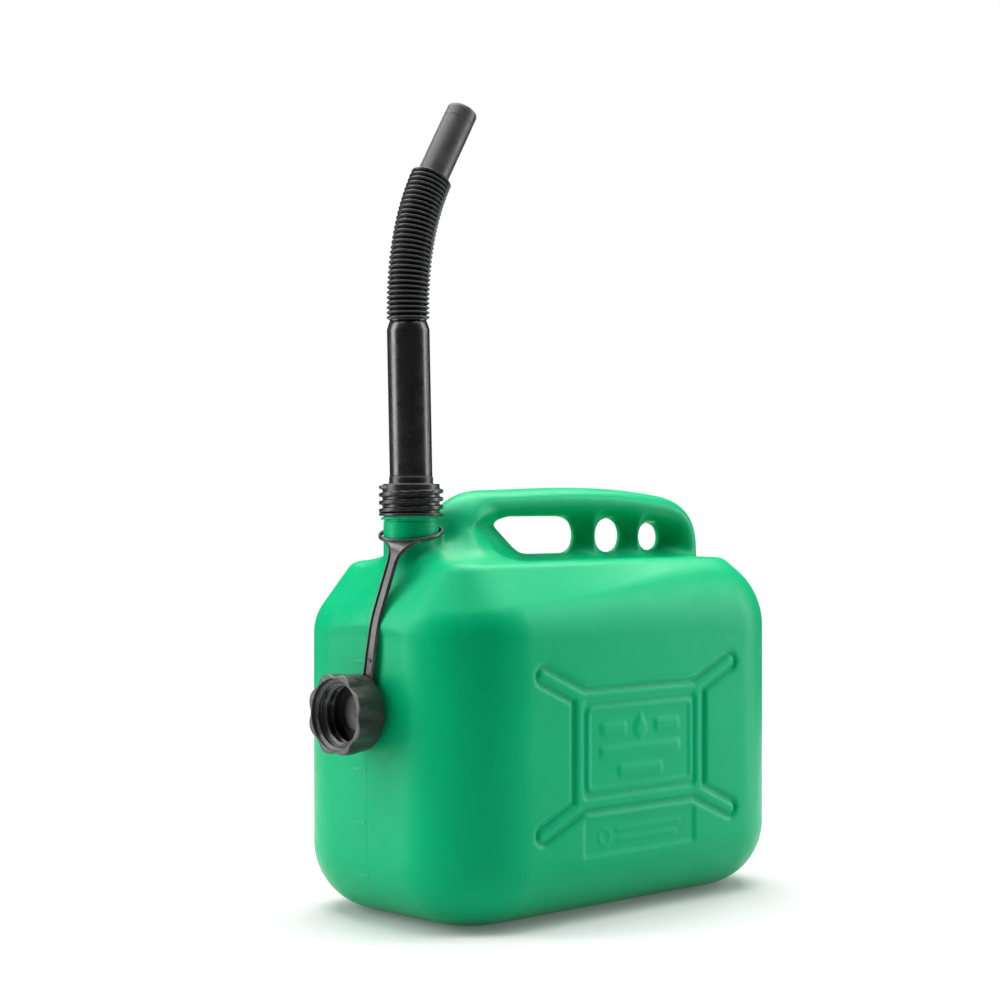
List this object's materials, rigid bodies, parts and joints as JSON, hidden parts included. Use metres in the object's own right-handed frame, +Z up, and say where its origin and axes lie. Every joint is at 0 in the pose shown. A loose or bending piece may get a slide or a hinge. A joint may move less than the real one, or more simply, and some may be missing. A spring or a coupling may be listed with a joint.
{
  "type": "petrol can",
  "caption": "Plastic ten-litre petrol can with integral handle, screw-on spout with bellows and nozzle, and a cap on a tether.",
  "frame": {"origin": "centre of the base, on the surface that the can stands on", "axes": "+Z up, +X along the length away from the neck, +Y towards the rear broad side"},
  "size_m": [0.3381, 0.18, 0.5226],
  "materials": {
    "green_plastic": "blow-moulded polyethylene with a fine grain and a soft gloss",
    "black_plastic": "satin moulded polyethylene",
    "bellows_plastic": "flexible polyethylene, slightly glossy",
    "nozzle_plastic": "satin moulded polyethylene, greyer than the bellows",
    "tether_plastic": "thin flexible moulding",
    "cap_plastic": "satin injection moulding",
    "seal_rubber": "fuel-resistant rubber"
  },
  "bodies": {
    "can": {"can_body": "green_plastic"},
    "seal": {"spout_seal": "seal_rubber"},
    "spout": {"spout_collar": "black_plastic", "spout_tube": "black_plastic"},
    "bellows_01": {"bellows_01": "bellows_plastic"},
    "bellows_02": {"bellows_02": "bellows_plastic"},
    "bellows_03": {"bellows_03": "bellows_plastic"},
    "bellows_04": {"bellows_04": "bellows_plastic"},
    "bellows_05": {"bellows_05": "bellows_plastic"},
    "bellows_06": {"bellows_06": "bellows_plastic"},
    "bellows_07": {"bellows_07": "bellows_plastic"},
    "bellows_08": {"bellows_08": "bellows_plastic"},
    "bellows_09": {"bellows_09": "bellows_plastic"},
    "bellows_10": {"bellows_10": "bellows_plastic"},
    "nozzle": {"spout_nozzle": "nozzle_plastic"},
    "ring": {"tether_ring": "tether_plastic"},
    "strap": {"tether_strap": "tether_plastic"},
    "cap": {"cap_shell": "cap_plastic", "cap_seal": "seal_rubber"}
  },
  "joints": [
    {"name": "spout_lift", "type": "slide", "parent": "can", "child": "seal", "axis": [0, 0, 1], "range_m": [0, 0.01501]},
    {"name": "spout_turn", "type": "hinge", "parent": "seal", "child": "spout", "pos_m": [-0.1193, 0, 0.265], "axis": [0, 0, 1], "range_deg": [0, 1080]},
    {"name": "bend_01", "type": "hinge", "parent": "spout", "child": "bellows_01", "pos_m": [-0.12192, 0, 0.37947], "axis": [0, 1, 0], "range_deg": [-2.5, 4]},
    {"name": "bend_02", "type": "hinge", "parent": "bellows_01", "child": "bellows_02", "pos_m": [-0.12196, 0, 0.38877], "axis": [0, 1, 0], "range_deg": [-2.5, 4]},
    {"name": "bend_03", "type": "hinge", "parent": "bellows_02", "child": "bellows_03", "pos_m": [-0.12169, 0, 0.39806], "axis": [0, 1, 0], "range_deg": [-2.5, 4]},
    {"name": "bend_04", "type": "hinge", "parent": "bellows_03", "child": "bellows_04", "pos_m": [-0.12105, 0, 0.40734], "axis": [0, 1, 0], "range_deg": [-2.5, 4]},
    {"name": "bend_05", "type": "hinge", "parent": "bellows_04", "child": "bellows_05", "pos_m": [-0.11998, 0, 0.41658], "axis": [0, 1, 0], "range_deg": [-2.5, 4]},
    {"name": "bend_06", "type": "hinge", "parent": "bellows_05", "child": "bellows_06", "pos_m": [-0.11846, 0, 0.42575], "axis": [0, 1, 0], "range_deg": [-2.5, 4]},
    {"name": "bend_07", "type": "hinge", "parent": "bellows_06", "child": "bellows_07", "pos_m": [-0.11646, 0, 0.43484], "axis": [0, 1, 0], "range_deg": [-2.5, 4]},
    {"name": "bend_08", "type": "hinge", "parent": "bellows_07", "child": "bellows_08", "pos_m": [-0.11395, 0, 0.44379], "axis": [0, 1, 0], "range_deg": [-2.5, 4]},
    {"name": "bend_09", "type": "hinge", "parent": "bellows_08", "child": "bellows_09", "pos_m": [-0.11091, 0, 0.45258], "axis": [0, 1, 0], "range_deg": [-2.5, 4]},
    {"name": "bend_10", "type": "hinge", "parent": "bellows_09", "child": "bellows_10", "pos_m": [-0.10734, 0, 0.46117], "axis": [0, 1, 0], "range_deg": [-2.5, 4]},
    {"name": "bend_11", "type": "hinge", "parent": "bellows_10", "child": "nozzle", "pos_m": [-0.10322, 0, 0.4695], "axis": [0, 1, 0], "range_deg": [-2.5, 4]},
    {"name": "ring_turn", "type": "hinge", "parent": "can", "child": "ring", "pos_m": [-0.1193, 0, 0.244], "axis": [0, 0, 1], "range_deg": [-3, 3]},
    {"name": "strap_lift", "type": "hinge", "parent": "ring", "child": "strap", "pos_m": [-0.1399, -0.0119, 0.2374], "axis": [0, 1, 0], "range_deg": [0, 100]},
    {"name": "cap_spin", "type": "hinge", "parent": "strap", "child": "cap", "pos_m": [-0.162, 0, 0.133], "axis": [1, 0, 0], "continuous": true}
  ],
  "couplings": [
    {"joint": "spout_lift", "follows": "spout_turn", "m_per_rad": 0.00079577},
    {"joint": "bend_02", "follows": "bend_01", "ratio": 1},
    {"joint": "bend_03", "follows": "bend_01", "ratio": 1},
    {"joint": "bend_04", "follows": "bend_01", "ratio": 1},
    {"joint": "bend_05", "follows": "bend_01", "ratio": 1},
    {"joint": "bend_06", "follows": "bend_01", "ratio": 1},
    {"joint": "bend_07", "follows": "bend_01", "ratio": 1},
    {"joint": "bend_08", "follows": "bend_01", "ratio": 1},
    {"joint": "bend_09", "follows": "bend_01", "ratio": 1},
    {"joint": "bend_10", "follows": "bend_01", "ratio": 1},
    {"joint": "bend_11", "follows": "bend_01", "ratio": 1}
  ]
}
